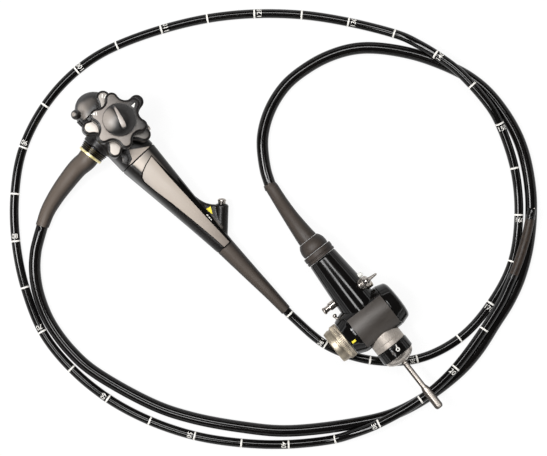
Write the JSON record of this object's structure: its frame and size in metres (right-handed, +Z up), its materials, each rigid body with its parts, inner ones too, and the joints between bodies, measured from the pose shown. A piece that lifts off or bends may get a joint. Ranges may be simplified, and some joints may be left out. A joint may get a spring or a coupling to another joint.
{
  "type": "flexible endoscope",
  "caption": "Flexible endoscope at rest: control section with two angulation wheels, insertion tube with a jointed bending section, universal cord and light-guide connector.",
  "frame": {"origin": "on the table, under the middle of the box round the control section and the connector", "axes": "+Z up from the table; +X to the right and +Y away from the viewer, as the instrument is seen from above with its control section at the far left"},
  "size_m": [0.5567, 0.4646, 0.0909],
  "materials": {
    "satin_plastic": "satin",
    "pale_plastic": "satin",
    "boot_rubber": "matt",
    "tube_black": "gloss",
    "gloss_black": "gloss",
    "polished_steel": "polished",
    "brushed_metal": "brushed",
    "gilt_metal": "satin",
    "plate_grey": "satin",
    "clear_nylon": "gloss",
    "lens_glass": "polished"
  },
  "bodies": {
    "body": {"control_housing": "satin_plastic", "head_end_cap": "satin_plastic", "head_cover": "pale_plastic", "lever_stop": "satin_plastic", "grip_shell": "satin_plastic", "grip_panel": "pale_plastic", "channel_port_mouth": "polished_steel", "outlet_collar": "satin_plastic", "outlet_ring": "gilt_metal", "universal_cord_boot": "boot_rubber", "insertion_tube_boot": "boot_rubber", "knob_post": "brushed_metal", "suction_valve_seat": "brushed_metal", "air_water_valve_seat": "brushed_metal", "insertion_tube": "tube_black", "universal_cord": "tube_black", "connector_boot": "boot_rubber", "boot_collar": "boot_rubber", "lock_ring": "boot_rubber", "connector_sleeve": "gloss_black", "connector_barrel": "gloss_black", "barrel_end_cap": "gloss_black", "label_plate": "plate_grey", "socket_collar": "gloss_black", "socket_ring": "brushed_metal", "socket_insert": "gloss_black", "light_guide_collar": "brushed_metal", "light_guide_ring": "gloss_black", "light_guide_cone": "polished_steel", "light_guide_rod": "polished_steel", "light_guide_window": "lens_glass", "air_pipe": "polished_steel", "water_nut": "brushed_metal", "vent_cap": "clear_nylon", "suction_spigot": "polished_steel", "earth_stud": "polished_steel", "bending_base": "gloss_black"},
    "ud_knob": {"ud_wheel": "satin_plastic", "ud_drum": "brushed_metal"},
    "rl_knob": {"rl_wheel": "satin_plastic", "rl_drum": "brushed_metal"},
    "rl_brake": {"rl_brake_knob": "satin_plastic"},
    "ud_brake": {"ud_brake_lever": "satin_plastic", "ud_brake_ball": "satin_plastic"},
    "suction_button": {"suction_valve_button": "polished_steel"},
    "air_water_button": {"air_water_valve_button": "satin_plastic"},
    "bend_1": {"link_1": "brushed_metal"},
    "bend_2": {"link_2": "brushed_metal"},
    "bend_3": {"link_3": "brushed_metal"},
    "bend_4": {"link_4": "brushed_metal"},
    "bend_5": {"link_5": "brushed_metal"},
    "bend_6": {"link_6": "brushed_metal"},
    "bend_7": {"link_7": "brushed_metal"},
    "bend_tip": {"distal_tip": "gloss_black", "objective_lens": "lens_glass", "light_lens_a": "lens_glass", "light_lens_b": "lens_glass", "water_nozzle": "polished_steel"}
  },
  "joints": [
    {"name": "ud_wheel_hinge", "type": "hinge", "parent": "body", "child": "ud_knob", "pos_m": [-0.12186, 0.12995, 0.0578], "axis": [0.2011, 0.0903, 0.9754], "range_deg": [0, 150]},
    {"name": "rl_wheel_hinge", "type": "hinge", "parent": "body", "child": "rl_knob", "pos_m": [-0.11905, 0.13121, 0.07146], "axis": [0.2011, 0.0903, 0.9754], "range_deg": [-120, 120]},
    {"name": "rl_brake_hinge", "type": "hinge", "parent": "body", "child": "rl_brake", "pos_m": [-0.11704, 0.13212, 0.08121], "axis": [0.2011, 0.0903, 0.9754], "range_deg": [0, 70]},
    {"name": "ud_brake_hinge", "type": "hinge", "parent": "body", "child": "ud_brake", "pos_m": [-0.12373, 0.12911, 0.04873], "axis": [0.2011, 0.0903, 0.9754], "range_deg": [0, 50]},
    {"name": "suction_button_press", "type": "slide", "parent": "body", "child": "suction_button", "axis": [-0.6976, -0.6858, 0.2073], "range_m": [0, 0.0026], "stiffness_N_per_m": 500, "springref_m": -0.002},
    {"name": "air_water_button_press", "type": "slide", "parent": "body", "child": "air_water_button", "axis": [-0.6976, -0.6858, 0.2073], "range_m": [0, 0.0026], "stiffness_N_per_m": 500, "springref_m": -0.002},
    {"name": "bend_1_hinge", "type": "hinge", "parent": "body", "child": "bend_1", "pos_m": [0.28972, -0.02364, 0.0177], "axis": [0.9311, -0.3649, 0], "range_deg": [0, 45]},
    {"name": "bend_2_hinge", "type": "hinge", "parent": "bend_1", "child": "bend_2", "pos_m": [0.29263, -0.0162, 0.0177], "axis": [0, 0, 1], "range_deg": [-40, 40]},
    {"name": "bend_3_hinge", "type": "hinge", "parent": "bend_2", "child": "bend_3", "pos_m": [0.29534, -0.00867, 0.0177], "axis": [0.95, -0.3123, 0], "range_deg": [0, 45]},
    {"name": "bend_4_hinge", "type": "hinge", "parent": "bend_3", "child": "bend_4", "pos_m": [0.29784, -0.00107, 0.0177], "axis": [0, 0, 1], "range_deg": [-40, 40]},
    {"name": "bend_5_hinge", "type": "hinge", "parent": "bend_4", "child": "bend_5", "pos_m": [0.30013, 0.0066, 0.0177], "axis": [0.9659, -0.2588, 0], "range_deg": [0, 45]},
    {"name": "bend_6_hinge", "type": "hinge", "parent": "bend_5", "child": "bend_6", "pos_m": [0.3022, 0.01433, 0.0177], "axis": [0, 0, 1], "range_deg": [-40, 40]},
    {"name": "bend_7_hinge", "type": "hinge", "parent": "bend_6", "child": "bend_7", "pos_m": [0.30405, 0.02211, 0.0177], "axis": [0.9789, -0.2045, 0], "range_deg": [0, 45]},
    {"name": "bend_tip_hinge", "type": "hinge", "parent": "bend_7", "child": "bend_tip", "pos_m": [0.30569, 0.02994, 0.0177], "axis": [0, 0, 1], "range_deg": [-40, 40]}
  ],
  "couplings": [
    {"joint": "bend_1_hinge", "follows": "ud_wheel_hinge", "ratio": 0.3},
    {"joint": "bend_2_hinge", "follows": "rl_wheel_hinge", "ratio": 0.33333},
    {"joint": "bend_3_hinge", "follows": "ud_wheel_hinge", "ratio": 0.3},
    {"joint": "bend_4_hinge", "follows": "rl_wheel_hinge", "ratio": 0.33333},
    {"joint": "bend_5_hinge", "follows": "ud_wheel_hinge", "ratio": 0.3},
    {"joint": "bend_6_hinge", "follows": "rl_wheel_hinge", "ratio": 0.33333},
    {"joint": "bend_7_hinge", "follows": "ud_wheel_hinge", "ratio": 0.3},
    {"joint": "bend_tip_hinge", "follows": "rl_wheel_hinge", "ratio": 0.33333}
  ]
}
